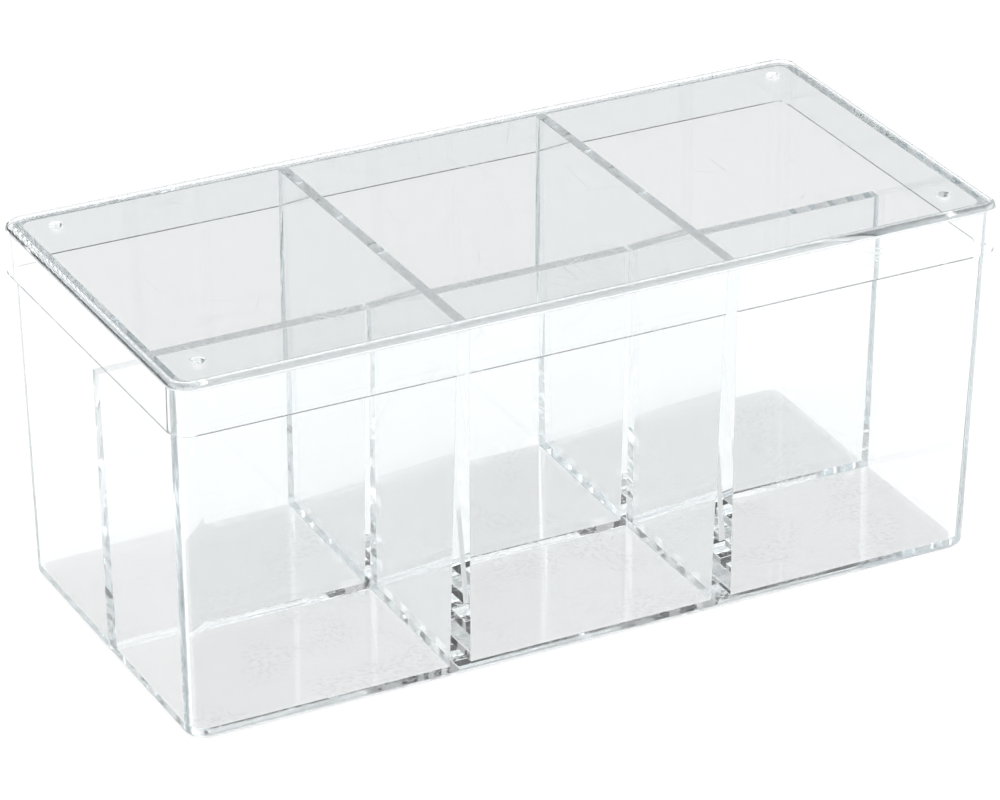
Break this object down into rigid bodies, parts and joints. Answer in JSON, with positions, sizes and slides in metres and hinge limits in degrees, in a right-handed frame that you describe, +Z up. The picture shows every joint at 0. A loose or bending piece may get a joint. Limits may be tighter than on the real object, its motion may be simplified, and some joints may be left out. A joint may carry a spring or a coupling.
{
  "type": "card deck box",
  "caption": "Clear rectangular storage box with a shallow lift-off lid over a tray divided into compartments for standing decks of playing cards.",
  "frame": {"origin": "centre of the tray's underside, in the plane that the box stands on", "axes": "+X along the length, +Y from front to back across the width, +Z up out of the compartments"},
  "size_m": [0.225, 0.1064, 0.0975],
  "materials": {
    "tray_clear_plastic": "polished clear polystyrene",
    "lid_clear_plastic": "polished clear polystyrene"
  },
  "bodies": {
    "tray": {"base_tray": "tray_clear_plastic"},
    "lid": {"lid": "lid_clear_plastic"}
  },
  "joints": [
    {"name": "lid_lift", "type": "slide", "parent": "tray", "child": "lid", "axis": [0, 0, 1], "range_m": [0, 0.12]}
  ]
}
